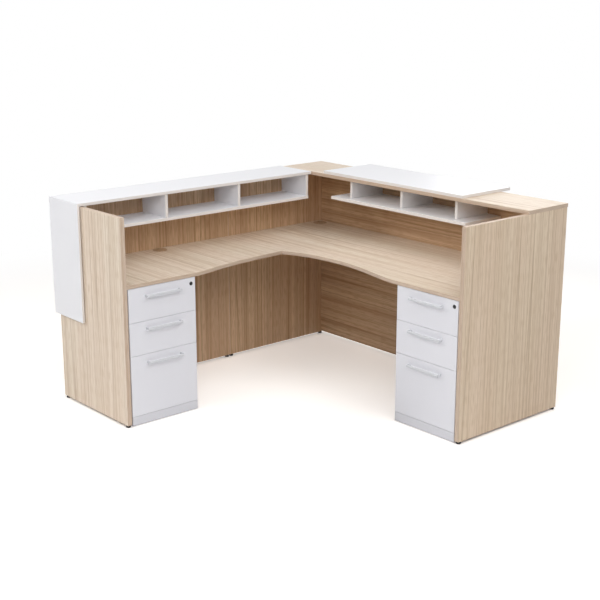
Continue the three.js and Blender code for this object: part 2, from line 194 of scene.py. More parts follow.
# %% Lamps
DESK_MIDDLE = (0, 0, 0.7)
CAP_END = (0.76, -0.72, 1.08)
FILL = "visitor_side"               # the one lamp that leaves no glare on the tops
LAMPS = {
    # name: (place, the point it faces, size in metres, share of full light)
    "over_left": ((-2.0, 0.8, 5.0), DESK_MIDDLE, 3.0, 0.24),
    "over_right": ((0.8, -2.0, 5.0), DESK_MIDDLE, 3.0, 0.38),
    "over_back": ((2.5, 2.5, 4.6), DESK_MIDDLE, 2.4, 0.04),
    "visitor_side": ((4.4, 4.4, 0.9), DESK_MIDDLE, 1.6, 0.28),
    "left_back": ((-3.9, 3.3, 3.5), DESK_MIDDLE, 1.2, 0.29),
    "left_front": ((-4.8, -1.1, 3.1), DESK_MIDDLE, 2.0, 0.09),
    "right_front": ((-1.1, -4.7, 4.3), DESK_MIDDLE, 3.2, 0.25),
    "camera_side": ((-3.6, -3.6, 3.7), DESK_MIDDLE, 2.2, 0.22),
    "sheen": ((3.1, 1.1, 1.6), CAP_END, 1.2, 0.12),
}


def soft_box(name, place, aim, size, share):
    lamp = bpy.data.lights.new(name, "AREA")
    lamp.shape = "SQUARE"
    lamp.size = size
    reach = Vector(place) - Vector(aim)
    lamp.energy = share * math.pi ** 2 * reach.length_squared
    holder = bpy.data.objects.new(name, lamp)
    holder.location = place
    holder.rotation_euler = reach.to_track_quat("Z", "Y").to_euler()
    holder.visible_camera = False
    holder.visible_glossy = name != FILL
    scene.collection.objects.link(holder)
    return lamp.energy


for name, settings in LAMPS.items():
    print(f"{name}: {soft_box(name, *settings):.0f} W")

# %% [markdown]
# ## Finishes
# A finish is a recipe that returns what the Principled shader should receive. Sizes inside the
# recipes are real millimetres. At this distance one pixel covers about four millimetres, so marks
# finer than that are drawn a little coarser than life, and the comments say where.

# %% Finish helper
finishes = {}


def finish(name, slot):
    """Builds the material of that name from a recipe and keeps it with the slot of the record that it is meant for."""
    def build(recipe):
        material = bpy.data.materials.new(name)
        material.use_nodes = True
        tree = material.node_tree
        tree.nodes.clear()
        shader = add(tree, "ShaderNodeBsdfPrincipled", recipe(tree))
        add(tree, "ShaderNodeOutputMaterial", {"Surface": shader.outputs["BSDF"]})
        finishes[name] = (material, slot)
        print("finish", name, "with", len(tree.nodes), "nodes")
        return recipe
    return build


# %% [markdown]
# ### Oak-print laminate
# The wood is a photographed pale oak, printed on paper and pressed with melamine on chipboard. The
# eye sees soft bands along the board, fine streaks and short dark pores in them, a few thin growth
# lines and patches that lean to pink, all under one even matt skin. Each layer is a two-dimensional
# noise, stretched along the grain on the board's own UV map, which is in metres. The print comes in
# four depths. The right gable gets a deeper one, as painted shade on that less lit side; the inner
# faces of the panels behind the seat get a warmer and darker one, as painted shade in the knee space
# and under the hutches; and the edge bands, which are printed on plastic, are deeper than the faces
# that they finish.

# %% Oak-print laminate
GRAIN_MAP = "Grain"
FIGURE = {
    # layer: (length of a mark, width of a mark in mm, octaves of detail)
    "band": (4000, 60, 1.0),
    "blush": (1200, 190, 0.0),
    "streak": (1800, 13, 3.0),
    "pore": (60, 5, 0.0),           # real pores are under a millimetre wide
    "growth": (6000, 85, 0.6),
}
SHOWN = {
    # layer: (noise where it starts to show, noise where it shows fully, its greatest share)
    "band": (0.30, 0.70, 1.0),
    "blush": (0.35, 0.65, 0.5),
    "streak": (0.44, 0.72, 0.8),
    "pore": (0.52, 0.72, 0.4),
    "growth": (0.016, 0.0, 0.5),    # measured from the middle of the noise, so it follows a contour
}
LAYER_STEP = (7.3, 3.1)             # moves every layer to a place of its own in the noise
OAK_TONES = {
    # finish: (ground, paler band, blush, streak, pore, growth line)
    "pale_oak_print": ("#E1D1BD", "#ECDFCE", "#E9D6C5", "#D0BBA3", "#CBB398", "#B59A7D"),
    # painted shade: a deeper print for the right gable, on the less lit side of the desk
    "painted_shade_gable_print": ("#DBC7AE", "#E6D4BD", "#E2CBB5", "#C8B094", "#C4AA8B", "#AD9070"),
    # painted shade: a darker, warmer print for the inner faces in the knee space and under the hutches
    "painted_shade_oak_print": ("#C6A584", "#DEBF9B", "#CEAB8B", "#AA8360", "#A98260", "#8E6846"),
    "oak_edge_band": ("#C8B39F", "#D1BEAB", "#CDB7A5", "#BAA18B", "#B79C85", "#A48973"),
}

for name, tones in OAK_TONES.items():
    @finish(name, "oak_laminate")
    def oak_print(tree):
        ground, *marks = [linear(tone) for tone in tones]
        along = add(tree, "ShaderNodeUVMap", uv_map=GRAIN_MAP).outputs["UV"]
        layer = {}
        for place, (mark, (length, width, detail)) in enumerate(FIGURE.items()):
            stretched = add(tree, "ShaderNodeMapping", {
                "Vector": along,
                "Location": (LAYER_STEP[0] * place, LAYER_STEP[1] * place, 0),
                "Scale": (1 / (length * MM), 1 / (width * MM), 1),
            })
            layer[mark] = add(tree, "ShaderNodeTexNoise", {
                "Vector": stretched.outputs[0], "Scale": 1.0, "Detail": detail,
            }, noise_dimensions="2D").outputs[0]
        rough = add(tree, "ShaderNodeMapRange", {"Value": layer["streak"], "To Min": 0.44, "To Max": 0.56})
        ticking = add(tree, "ShaderNodeBump", {"Height": layer["pore"], "Strength": 0.25, "Distance": 0.3 * MM})

        centred = add(tree, "ShaderNodeMath", {0: layer["growth"], 1: 0.5}, operation="SUBTRACT")
        layer["growth"] = add(tree, "ShaderNodeMath", {0: centred.outputs[0]}, operation="ABSOLUTE").outputs[0]
        colour = ground
        for tone, (mark, (start, full, most)) in zip(marks, SHOWN.items()):
            share = add(tree, "ShaderNodeMapRange", {
                "Value": layer[mark], "From Min": start, "From Max": full, "To Max": most})
            mixed = add(tree, "ShaderNodeMix", {0: share.outputs[0], 6: colour, 7: tone}, data_type="RGBA")
            colour = mixed.outputs[2]
        return {"Base Color": colour, "Roughness": rough.outputs[0], "Normal": ticking.outputs[0]}

# %% [markdown]
# ### White laminate, grey melamine and drawer board
# The counters and hutches are white high-pressure laminate, pressed against a plate with a fine
# pebble, so they look satin, not wet. The pedestals are melamine board a step greyer and cooler.
# Drawer boxes inside are chipboard wrapped in a cheaper off-white foil. All three share one recipe
# of a pebble in the bump and a slow drift in tone, and differ in colour, grit and gloss.

# %% Plain pressed boards
PRESSED = {
    # finish: (slot, two colours it drifts between, pebble in mm, roughness range)
    # the real pebble is half a millimetre, drawn coarser here so that it shows
    "white_satin_laminate": ("white_laminate", ("#F1F1F4", "#EEEEF2"), 2.5, (0.36, 0.44)),
    "grey_white_melamine": ("grey_melamine", ("#E7E7EC", "#E4E4EA"), 2.5, (0.40, 0.50)),
    # painted shade: the plinths are drawn darker than the fronts, for the shade low down near the floor
    "painted_shade_plinth_board": ("grey_melamine", ("#DADADF", "#D6D6DC"), 2.5, (0.40, 0.50)),
    "white_edge_band": ("white_laminate", ("#EBE6E3", "#E8E3DF"), 2.5, (0.32, 0.40)),
    "off_white_foil": ("drawer_board", ("#E3DFD7", "#DCD7CE"), 3.5, (0.52, 0.62)),
}
DRIFT = 220                         # mm, one slow patch of tone

for name, (slot, tones, pebble, gloss) in PRESSED.items():
    @finish(name, slot)
    def pressed_board(tree):
        place = add(tree, "ShaderNodeTexCoord").outputs["Object"]
        patch = add(tree, "ShaderNodeTexNoise", {"Vector": place, "Scale": 1 / (DRIFT * MM), "Detail": 1.0})
        grit = add(tree, "ShaderNodeTexNoise", {"Vector": place, "Scale": 1 / (pebble * MM), "Detail": 1.0})
        tone = add(tree, "ShaderNodeMix", {
            0: patch.outputs[0], 6: linear(tones[0]), 7: linear(tones[1])}, data_type="RGBA")
        rough = add(tree, "ShaderNodeMapRange", {"Value": grit.outputs[0], "To Min": gloss[0], "To Max": gloss[1]})
        bump = add(tree, "ShaderNodeBump", {"Height": grit.outputs[0], "Strength": 0.12, "Distance": 0.2 * MM})
        return {"Base Color": tone.outputs[2], "Roughness": rough.outputs[0], "Normal": bump.outputs[0]}

# %% [markdown]
# ### Metals
# The pulls are drawn aluminium, brushed along their length and anodised matt. The oxide skin is milky
# and scatters most of the light that the metal below would mirror, so they look soft grey, with no
# hard highlight, and the shader is part metal and part plain colour. Slides, plates and screws are mild steel with a thin bright zinc plating,
# which dries in soft cloudy spangles. Lock parts are die-cast zinc under a satin black coat.

# %% Satin anodised aluminium
BRUSH = (40, 1.2)                   # mm, length and width of a brush mark, the width drawn coarse


@finish("satin_anodised_aluminium", "satin_aluminium")
def satin_anodised_aluminium(tree):
    along = add(tree, "ShaderNodeUVMap", uv_map=GRAIN_MAP).outputs["UV"]
    drawn = add(tree, "ShaderNodeMapping", {"Vector": along, "Scale": (1 / (BRUSH[0] * MM), 1 / (BRUSH[1] * MM), 1)})
    marks = add(tree, "ShaderNodeTexNoise", {
        "Vector": drawn.outputs[0], "Scale": 1.0, "Detail": 2.0}, noise_dimensions="2D").outputs[0]
    tone = add(tree, "ShaderNodeMix", {0: marks, 6: linear("#CED0D4"), 7: linear("#D5D6DA")}, data_type="RGBA")
    rough = add(tree, "ShaderNodeMapRange", {"Value": marks, "To Min": 0.70, "To Max": 0.80})
    bump = add(tree, "ShaderNodeBump", {"Height": marks, "Strength": 0.1, "Distance": 0.05 * MM})
    return {"Base Color": tone.outputs[2], "Metallic": 0.3, "Roughness": rough.outputs[0], "Normal": bump.outputs[0]}


# %% Zinc-plated steel
SPANGLE = 6                         # mm, one cloudy patch of zinc


@finish("zinc_plated_steel", "zinc_plated_steel")
def zinc_plated_steel(tree):
    place = add(tree, "ShaderNodeTexCoord").outputs["Object"]
    cloud = add(tree, "ShaderNodeTexNoise", {"Vector": place, "Scale": 1 / (SPANGLE * MM), "Detail": 3.0}).outputs[0]
    tone = add(tree, "ShaderNodeMix", {0: cloud, 6: linear("#9FA2A6"), 7: linear("#BFC1C4")}, data_type="RGBA")
    rough = add(tree, "ShaderNodeMapRange", {"Value": cloud, "To Min": 0.3, "To Max": 0.5})
    return {"Base Color": tone.outputs[2], "Metallic": 1.0, "Roughness": rough.outputs[0]}


# %% [markdown]
# ### Coats and plastics
# What is left is small: the black coat on the locks, the black nylon of the glides and the tan ABS
# of the grommets. Each is a near-even colour with a moulded or sprayed grain that breaks the
# highlight, so one recipe takes their colours and grit from a table.

# %% Coats and plastics
MOULDED = {
    # finish: (slot, two colours it varies between, grain in mm, roughness range, bump strength)
    "satin_black_coat": ("black_metal", ("#0E0F11", "#17181B"), 1.5, (0.32, 0.42), 0.08),
    "black_nylon": ("black_plastic", ("#131316", "#1D1D20"), 2.0, (0.50, 0.62), 0.20),
    "tan_abs": ("tan_plastic", ("#B39678", "#A98C6D"), 2.0, (0.30, 0.40), 0.12),
}

for name, (slot, tones, grain, gloss, strength) in MOULDED.items():
    @finish(name, slot)
    def moulded(tree):
        place = add(tree, "ShaderNodeTexCoord").outputs["Object"]
        grit = add(tree, "ShaderNodeTexNoise", {"Vector": place, "Scale": 1 / (grain * MM), "Detail": 2.0}).outputs[0]
        tone = add(tree, "ShaderNodeMix", {0: grit, 6: linear(tones[0]), 7: linear(tones[1])}, data_type="RGBA")
        rough = add(tree, "ShaderNodeMapRange", {"Value": grit, "To Min": gloss[0], "To Max": gloss[1]})
        bump = add(tree, "ShaderNodeBump", {"Height": grit, "Strength": strength, "Distance": 0.1 * MM})
        return {"Base Color": tone.outputs[2], "Roughness": rough.outputs[0], "Normal": bump.outputs[0]}

# %% [markdown]
# ## Turning solids into finished pieces
# Every piece ends the same way: its mesh gets a finish, rides on the body that carries it and hides
# the CAD nodes that it replaces. Faces that lie square to an axis are shaded flat and all others
# smooth, so that a broad board stays flat right up to its eased edge.

# %% Finished pieces
SQUARE = 0.9999                     # the largest part of a normal that lies square to an axis


def finished(name, bm, finish_name, body, *replaced):
    for face in bm.faces:
        face.smooth = max(abs(part) for part in face.normal) < SQUARE
    mesh = bpy.data.meshes.new(name)
    bm.to_mesh(mesh)
    bm.free()
    material, slot = finishes[finish_name]
    mesh.materials.append(material)
    piece = bpy.data.objects.new(name, mesh)
    scene.collection.objects.link(piece)
    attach(piece, body)
    if replaced:
        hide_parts(*replaced)
    return piece


# %% [markdown]
# ## Boards
# A sawn and edge-banded board has no knife edges: a scraper eases the band to a radius of about a
# millimetre, and that thin rounded line is what catches the light. The board could be modelled
# again as a cube with a Bevel modifier. A copy of the CAD solid with its triangles joined to flat
# faces is better, because curved edges, holes and mitres come along.

# %% Boards from the CAD solids
JOIN = 0.01 * MM                    # points closer than this are one point
COPLANAR = math.radians(0.1)
SHARP = math.radians(30)


def eased_board(node, ease, steps=2):
    bm = bmesh.new()
    bm.from_mesh(nodes[node].data)
    bmesh.ops.remove_doubles(bm, verts=bm.verts, dist=JOIN)
    bmesh.ops.dissolve_limit(bm, angle_limit=COPLANAR, verts=bm.verts, edges=bm.edges)
    sharp = [edge for edge in bm.edges if edge.calc_face_angle(0) > SHARP]
    bmesh.ops.bevel(bm, geom=sharp, offset=ease, segments=steps, profile=0.5, affect="EDGES", clamp_overlap=True)
    return bm


# %% [markdown]
# ## Cutting
# A few pieces have a groove or a slot. A Boolean modifier takes one closed solid away from another,
# and is applied at once, so that the result can be worked on like any other mesh.

# %% Cutting helpers
def block(bm, low, high):
    """A closed box between two corners."""
    made = bmesh.ops.create_cube(bm, size=1)["verts"]
    for vert in made:
        vert.co = Vector(b if part > 0 else a for part, a, b in zip(vert.co, low, high))
    return made


def carve(bm, cutter):
    """Takes the cutter's shape away from a solid."""
    made = []
    for name, source in (("carved", bm), ("cutter", cutter)):
        mesh = bpy.data.meshes.new(name)
        source.to_mesh(mesh)
        source.free()
        made.append(bpy.data.objects.new(name, mesh))
        scene.collection.objects.link(made[-1])
    solid, tool = made
    cut = solid.modifiers.new("cut", "BOOLEAN")
    cut.object = tool
    cut.solver = "EXACT"
    result = bmesh.new()
    result.from_object(solid, bpy.context.evaluated_depsgraph_get())
    for temporary in made:
        bpy.data.objects.remove(temporary)
    return result


print("boards join points within", JOIN / MM, "mm")

# %% [markdown]
# ## Grain
# The printed figure runs along the board on its faces, and lengthwise on its edge bands. Each face
# is laid out flat in metres, with u along the grain and v across it. Every board starts at its own
# place on the endless print, as boards cut from different sheets do.

# %% Grain map
SHEET_STEP = (1.7, 0.9)             # metres of print between one board and the next
EDGE_STEP = 0.31                    # metres across the print between faces of different directions


def lay_grain(bm, grain, sheet):
    """Writes the grain map of a board whose figure runs along that axis (0, 1 or 2)."""
    spans = [max(v.co[i] for v in bm.verts) - min(v.co[i] for v in bm.verts) for i in range(3)]
    thin = spans.index(min(spans))
    layer = bm.loops.layers.uv.new(GRAIN_MAP)
    for face in bm.faces:
        facing = max(range(3), key=lambda i: abs(face.normal[i]))
        across = [i for i in range(3) if i != facing]
        along = grain if facing == thin else next(i for i in across if i != thin)
        side = next(i for i in across if i != along)
        shift = EDGE_STEP * (facing if facing != thin else 3 + (face.normal[facing] > 0))
        for loop in face.loops:
            place = loop.vert.co
            loop[layer].uv = (place[along] + SHEET_STEP[0] * sheet, place[side] + SHEET_STEP[1] * sheet + shift)


# %% [markdown]
# ## Wooden carcase
# Gables and the return's visitor panel carry upright grain. On the main wing the panel, the cap and
# the worksurface run lengthwise, and the return's worksurface follows them, so that the figure runs
# straight across the joint at the corner.

# %% Wooden boards
X, Y, Z = range(3)
WOOD = {
    "right_gable": Z, "far_gable": Z, "return_gable": Z, "return_panel": Z,
    "main_panel": Y, "main_cap": Y, "main_worksurface": Y, "return_worksurface": Y,
    "main_cleat": Y, "return_cleat": X,
}
# the right gable gets a deeper print as painted shade on the less lit side
PAINTED_SHADE_GABLE = {"right_gable"}
# these inner faces sit in the knee space and under the hutches, and the darker print on them is painted shade
PAINTED_SHADE_FACE = {"main_panel": (-1, 0, 0), "return_panel": (0, -1, 0), "far_gable": (0, -1, 0)}
BAND_EASE = 1.0 * MM
BAND_TURN = 0.5                     # faces turned further than this from the board's face are edge band


def band_edges(board, band):
    """Gives the narrow faces of a board the finish of an edge band."""
    thin = min(range(3), key=lambda i: board.dimensions[i])
    board.data.materials.append(finishes[band][0])
    for polygon in board.data.polygons:
        polygon.material_index = int(abs(polygon.normal[thin]) < BAND_TURN)


for sheet, (node, grain) in enumerate(WOOD.items()):
    bm = eased_board(node, BAND_EASE)
    lay_grain(bm, grain, sheet)
    print_depth = "painted_shade_gable_print" if node in PAINTED_SHADE_GABLE else "pale_oak_print"
    board = finished(f"{node}_finished", bm, print_depth, body_of[node], node)
    band_edges(board, "oak_edge_band")
    # the faces in the recesses get the darker, warmer print: painted shade
    if node in PAINTED_SHADE_FACE:
        board.data.materials.append(finishes["painted_shade_oak_print"][0])
        for polygon in board.data.polygons:
            if polygon.normal.dot(PAINTED_SHADE_FACE[node]) > SQUARE:
                polygon.material_index = 2
print(len(WOOD), "wooden boards,", len(PAINTED_SHADE_FACE), "of them with a warmer inner face")

# %% [markdown]
# ## Counters and letter hutches
# The white counters, the waterfall end and the hutch boards are the same kind of board in satin
# white, with a slightly fuller edge where a visitor's arm rests.

# %% White boards
COUNTERS = ["main_counter", "return_counter", "waterfall_panel"]
HUTCHES = [node for node in nodes if "shelf" in node or "divider" in node]
COUNTER_EASE = 1.5 * MM
HUTCH_EASE = 0.8 * MM

SHADOW_GAP = {"wide": 4 * MM, "deep": 12 * MM}
OVERCUT = 1 * MM                    # a cutter reaches this far past the face that it opens


def shadow_gap():
    """The groove between the waterfall's front edge and the gable that it is screwed to."""
    low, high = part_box("waterfall_panel")
    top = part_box("return_counter")[0].z
    groove = bmesh.new()
    block(groove, (high.x - SHADOW_GAP["wide"], low.y - OVERCUT, low.z - OVERCUT),
          (high.x + OVERCUT, low.y + SHADOW_GAP["deep"], top))
    return groove


for node in COUNTERS + HUTCHES:
    bm = eased_board(node, COUNTER_EASE if node in COUNTERS else HUTCH_EASE)
    if node == "waterfall_panel":
        bm = carve(bm, shadow_gap())
    board = finished(f"{node}_finished", bm, "white_satin_laminate", body_of[node], node)
    band_edges(board, "white_edge_band")
print(len(COUNTERS), "counter boards,", len(HUTCHES), "hutch boards")

# %% [markdown]
# ## Pedestals
# Both pedestals are the same cabinet, turned a quarter round. Their pieces are worked out once, in
# the cabinet's own frame: x runs across the drawer fronts from left to right, y runs into the desk
# and z is up. One matrix per wing then puts them in place.

# %% Pedestal frames
WINGS = ("return", "main")
DRAWERS = ("file", "middle", "top")


def cabinet_frame(wing):
    low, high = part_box(f"{wing}_pedestal_plinth")
    if wing == "return":
        return Matrix.Translation((low.x, low.y, 0))
    return Matrix.Translation((low.x, high.y, 0)) @ Matrix.Rotation(-math.pi / 2, 4, "Z")


CABINET = {wing: cabinet_frame(wing) for wing in WINGS}


def cabinet_box(wing, node):
    """A node's lowest and highest corners in its cabinet's frame."""
    ends = [CABINET[wing].inverted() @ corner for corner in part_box(node)]
    return Vector(map(min, *ends)), Vector(map(max, *ends))


for wing in WINGS:
    print(wing, "cabinet is", cabinet_box(wing, f"{wing}_pedestal_carcase")[1])

# %% Carcases, plinths and drawer fronts
FRONT_EASE = 0.5 * MM

for wing in WINGS:
    cabinet = [f"{wing}_pedestal_carcase", f"{wing}_pedestal_plinth"]
    for node in cabinet + [f"{wing}_{drawer}_drawer_front" for drawer in DRAWERS]:
        # the darker plinth board is painted shade near the floor
        skin = "painted_shade_plinth_board" if node.endswith("plinth") else "grey_white_melamine"
        finished(f"{node}_finished", eased_board(node, FRONT_EASE), skin, body_of[node], node)
print("two carcases, plinths and sets of drawer fronts")

# %% [markdown]
# ## Drawer boxes
# A drawer box is a tray behind its front. Starting from a block, the top face is inset by the wall's
# thickness and pressed down to the bottom board, which gives a closed tray with no loose faces.
# The steel runner on each side of the CAD box is made as a piece of its own below.

# %% Drawer boxes
WALL = 12 * MM
BOTTOM = 10 * MM
RUNNER = 5.9 * MM                   # how far a runner stands out from the box
BOX_EASE = 1.0 * MM


def tray(low, high):
    bm = bmesh.new()
    block(bm, low, high)
    bm.normal_update()
    top = max(bm.faces, key=lambda face: face.calc_center_median().z)
    bmesh.ops.inset_region(bm, faces=[top], thickness=WALL)
    pressed = bmesh.ops.extrude_discrete_faces(bm, faces=[top])["faces"][0]
    for vert in pressed.verts:
        vert.co.z = low.z + BOTTOM
    bmesh.ops.recalc_face_normals(bm, faces=bm.faces)
    sharp = [edge for edge in bm.edges if edge.calc_face_angle(0) > SHARP]
    bmesh.ops.bevel(bm, geom=sharp, offset=BOX_EASE, segments=2, profile=0.5, affect="EDGES", clamp_overlap=True)
    return bm


def drawer_tray(wing, drawer):
    low, high = cabinet_box(wing, f"{wing}_{drawer}_drawer_box")
    return low + Vector((RUNNER, 0, 0)), high - Vector((RUNNER, 0, 0))


for wing in WINGS:
    for drawer in DRAWERS:
        node = f"{wing}_{drawer}_drawer_box"
        bm = tray(*drawer_tray(wing, drawer))
        bm.transform(CABINET[wing])
        finished(f"{node}_finished", bm, "off_white_foil", body_of[node], node)
print(len(WINGS) * len(DRAWERS), "drawer boxes")

# %% [markdown]
# ## Slides
# Each drawer runs on two ball-bearing slides: a channel screwed to the cabinet and a smaller one on
# the drawer. A channel is a strip of steel bent to a C, so it is drawn as a section and pushed along
# its length. The cabinet's channels hang on two upright strips, as they do when a cabinet is built
# in a factory.

# %% Slide channels
GAUGE = 1.2 * MM                    # thickness of the steel
LIP = 7 * MM                        # how far a channel's edge turns back
RUNNER_DROP = 5 * MM                # a runner is this much narrower at each edge than its channel
STRIP = {"thick": 1.5 * MM, "width": 20 * MM, "inset": 40 * MM}


def prism(bm, outline, start, end):
    """A closed bar: an outline in x and z, pushed from start to end along y."""
    count = len(outline)
    rings = [[bm.verts.new((x, y, z)) for x, z in outline] for y in (start, end)]
    bm.faces.new(rings[0])
    bm.faces.new(reversed(rings[1]))
    for i in range(count):
        j = (i + 1) % count
        bm.faces.new((rings[0][j], rings[0][i], rings[1][i], rings[1][j]))


def channel(back, mouth, low, high):
    """The C of a channel, from the x of its back to the x of its mouth."""
    turn = math.copysign(GAUGE, mouth - back)
    inner, end = back + turn, mouth - turn
    return [
        (back, low), (mouth, low), (mouth, low + LIP), (end, low + LIP), (end, low + GAUGE), (inner, low + GAUGE),
        (inner, high - GAUGE), (end, high - GAUGE), (end, high - LIP), (mouth, high - LIP), (mouth, high), (back, high),
    ]


def slide_rows(wing):
    """Bottom and top of each slide channel, from the lowest drawer up."""
    rows = []
    for drawer in DRAWERS:
        low = cabinet_box(wing, f"{wing}_{drawer}_drawer_box")[0].z
        rows.append((low + SLIDE_FOOT, low + SLIDE_FOOT + SLIDE_HEIGHT))
    return rows


SLIDE_HEIGHT = 45 * MM
SLIDE_FOOT = 22.5 * MM              # a channel's lower edge above the underside of its drawer box
RUNNER_INSET = 25 * MM

for wing in WINGS:
    for side in ("left", "right"):
        node = f"{wing}_slides_{side}"
        low, high = cabinet_box(wing, node)
        back, mouth = (low.x, high.x) if side == "left" else (high.x, low.x)
        bm = bmesh.new()
        for row in slide_rows(wing):
            prism(bm, channel(back, mouth, *row), low.y, high.y)
        thick = math.copysign(STRIP["thick"], mouth - back)
        for y in (low.y + STRIP["inset"], high.y - STRIP["inset"] - STRIP["width"]):
            gaps = [(a[1], b[0]) for a, b in zip(slide_rows(wing), slide_rows(wing)[1:])]
            for bottom, top in gaps:
                prism(bm, [(back, bottom), (back + thick, bottom), (back + thick, top), (back, top)], y, y + STRIP["width"])
        bmesh.ops.recalc_face_normals(bm, faces=bm.faces)
        bm.transform(CABINET[wing])
        finished(f"{node}_finished", bm, "zinc_plated_steel", body_of[node], node)

    for drawer, (low_z, high_z) in zip(DRAWERS, slide_rows(wing)):
        low, high = cabinet_box(wing, f"{wing}_{drawer}_drawer_box")
        bm = bmesh.new()
        for back, mouth in ((low.x + RUNNER, low.x), (high.x - RUNNER, high.x)):
            section = channel(back, mouth, low_z + RUNNER_DROP, high_z - RUNNER_DROP)
            prism(bm, section, low.y + RUNNER_INSET, high.y - RUNNER_INSET)
        bmesh.ops.recalc_face_normals(bm, faces=bm.faces)
        bm.transform(CABINET[wing])
        finished(f"{wing}_{drawer}_drawer_runners", bm, "zinc_plated_steel", f"{wing}_{drawer}_drawer")
print("slides and runners for", len(WINGS) * len(DRAWERS), "drawers")

# %% [markdown]
# ## Hanging-file rails
# The deep bottom drawers hold hanging files, so a plastic rail clips over each side wall with a fin
# on top for the folders' hooks. It is one section pushed along the wall, like the slide channels.

# %% Hanging-file rails
CLIP = {"skin": 1.5 * MM, "grip": 14 * MM, "fin": 2.5 * MM, "rise": 11 * MM}

for wing in WINGS:
    low, high = drawer_tray(wing, "file")
    bm = bmesh.new()
    for wall in (low.x, high.x - WALL):
        left, right, top = wall - CLIP["skin"], wall + WALL + CLIP["skin"], high.z + CLIP["skin"]
        fin = wall + WALL / 2
        foot = high.z - CLIP["grip"]
        section = [
            (left, foot), (wall, foot), (wall, high.z), (wall + WALL, high.z), (wall + WALL, foot), (right, foot),
            (right, top), (fin + CLIP["fin"] / 2, top), (fin + CLIP["fin"] / 2, top + CLIP["rise"]),
            (fin - CLIP["fin"] / 2, top + CLIP["rise"]), (fin - CLIP["fin"] / 2, top), (left, top),
        ]
        prism(bm, section, low.y + WALL, high.y - WALL)
    bmesh.ops.recalc_face_normals(bm, faces=bm.faces)
    bm.transform(CABINET[wing])
    finished(f"{wing}_file_rails", bm, "black_nylon", f"{wing}_file_drawer")
print("hanging-file rails in", len(WINGS), "drawers")

# %% [markdown]
# ## Bar pulls
# A pull is a flat aluminium bar that stands off the drawer front on two legs. It is tumbled before it
# is anodised, so its edges are rounder than a board's and show as soft lines along the bar. A curve
# with a bevel object could draw it too, but the legs are wider than the bar is thick, and the CAD
# solid has both already. The brushing runs along the bar, so it gets a grain map like the wood.

# %% Bar pulls
PULL_EASE = 1.6 * MM
PULL_STEPS = 4                      # facets round an edge, twice as many as on a board

for wing, along in (("return", X), ("main", Y)):
    for sheet, drawer in enumerate(DRAWERS):
        node = f"{wing}_{drawer}_drawer_pull"
        bm = eased_board(node, PULL_EASE, PULL_STEPS)
        lay_grain(bm, along, sheet)
        finished(f"{node}_finished", bm, "satin_anodised_aluminium", body_of[node], node)
print(len(WINGS) * len(DRAWERS), "bar pulls")

# %% [markdown]
# ## Turned parts
# Grommets, glides and lock barrels are round, so each is a profile spun about an axis. Spinning can
# leave a doubled seam and faces that point inwards, so the seam is merged and the normals are made
# to point out before anything else happens.

# %% Spin helper
SPIN_STEPS = 48


def turned(profile):
    """A closed solid of revolution about z from a profile of (radius, height) pairs."""
    bm = bmesh.new()
    line = [bm.verts.new((radius, 0, height)) for radius, height in profile]
    edges = [bm.edges.new(pair) for pair in zip(line, line[1:])]
    bmesh.ops.spin(bm, geom=line + edges, axis=(0, 0, 1), cent=(0, 0, 0), steps=SPIN_STEPS, angle=2 * math.pi)
    bmesh.ops.remove_doubles(bm, verts=bm.verts, dist=JOIN)
    bmesh.ops.recalc_face_normals(bm, faces=bm.faces)
    return bm


print("turned parts have", SPIN_STEPS, "sides")

# %% [markdown]
# ## Cable grommets
# A tan cap sits in each hole through the worksurface: a rounded flange that hides the edge of the
# hole, a sleeve below it and a cap with one slot for cables. The slot is carved after spinning.

# %% Cable grommets
LIP_ROUND = 1.6 * MM
SLEEVE = {"inside": 32 * MM, "outside": 35 * MM, "cap": 3 * MM}
CAP_GROOVE = {"radius": 31 * MM, "wide": 1.2 * MM, "deep": 0.8 * MM}
SLOT = {"wide": 18 * MM, "start": 8 * MM, "end": 30 * MM}

for node in ("return_grommet", "corner_grommet"):
    low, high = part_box(node)
    middle = (low + high) / 2
    flange = (high.x - low.x) / 2
    table_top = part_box("main_worksurface")[1].z + 0.3 * MM
    rise = high.z - table_top
    foot = low.z - table_top
    groove = CAP_GROOVE["radius"]
    profile = [
        (0, rise), (groove, rise), (groove, rise - CAP_GROOVE["deep"]),
        (groove + CAP_GROOVE["wide"], rise - CAP_GROOVE["deep"]), (groove + CAP_GROOVE["wide"], rise),
    ]
    for step in range(5):
        angle = math.pi / 2 * step / 4
        profile.append((flange - LIP_ROUND + LIP_ROUND * math.sin(angle), rise - LIP_ROUND + LIP_ROUND * math.cos(angle)))
    profile += [
        (flange, 0), (SLEEVE["outside"], 0), (SLEEVE["outside"], foot), (SLEEVE["inside"], foot),
        (SLEEVE["inside"], rise - SLEEVE["cap"]), (0, rise - SLEEVE["cap"]),
    ]
    slot_tool = bmesh.new()
    block(slot_tool, (-SLOT["wide"] / 2, SLOT["start"], foot), (SLOT["wide"] / 2, SLOT["end"], rise + 1 * MM))
    bm = carve(turned(profile), slot_tool)
    bm.transform(Matrix.Translation((middle.x, middle.y, table_top)))
    finished(f"{node}_finished", bm, "tan_abs", body_of[node], node)
    print(node, "flange", round(flange / MM, 1), "mm")

# %% [markdown]
# ## Levelling glides
# The gables stand on black nylon feet, each with a threaded steel stem that turns in an insert. The
# thread is cut as rings in the spun profile, because at this size a true helix would not be seen.

# %% Levelling glides
FOOT = {"radius": 12 * MM, "rim": 2 * MM, "top": 10 * MM}
STEM = {"radius": 5 * MM, "pitch": 1.25 * MM, "depth": 0.6 * MM}

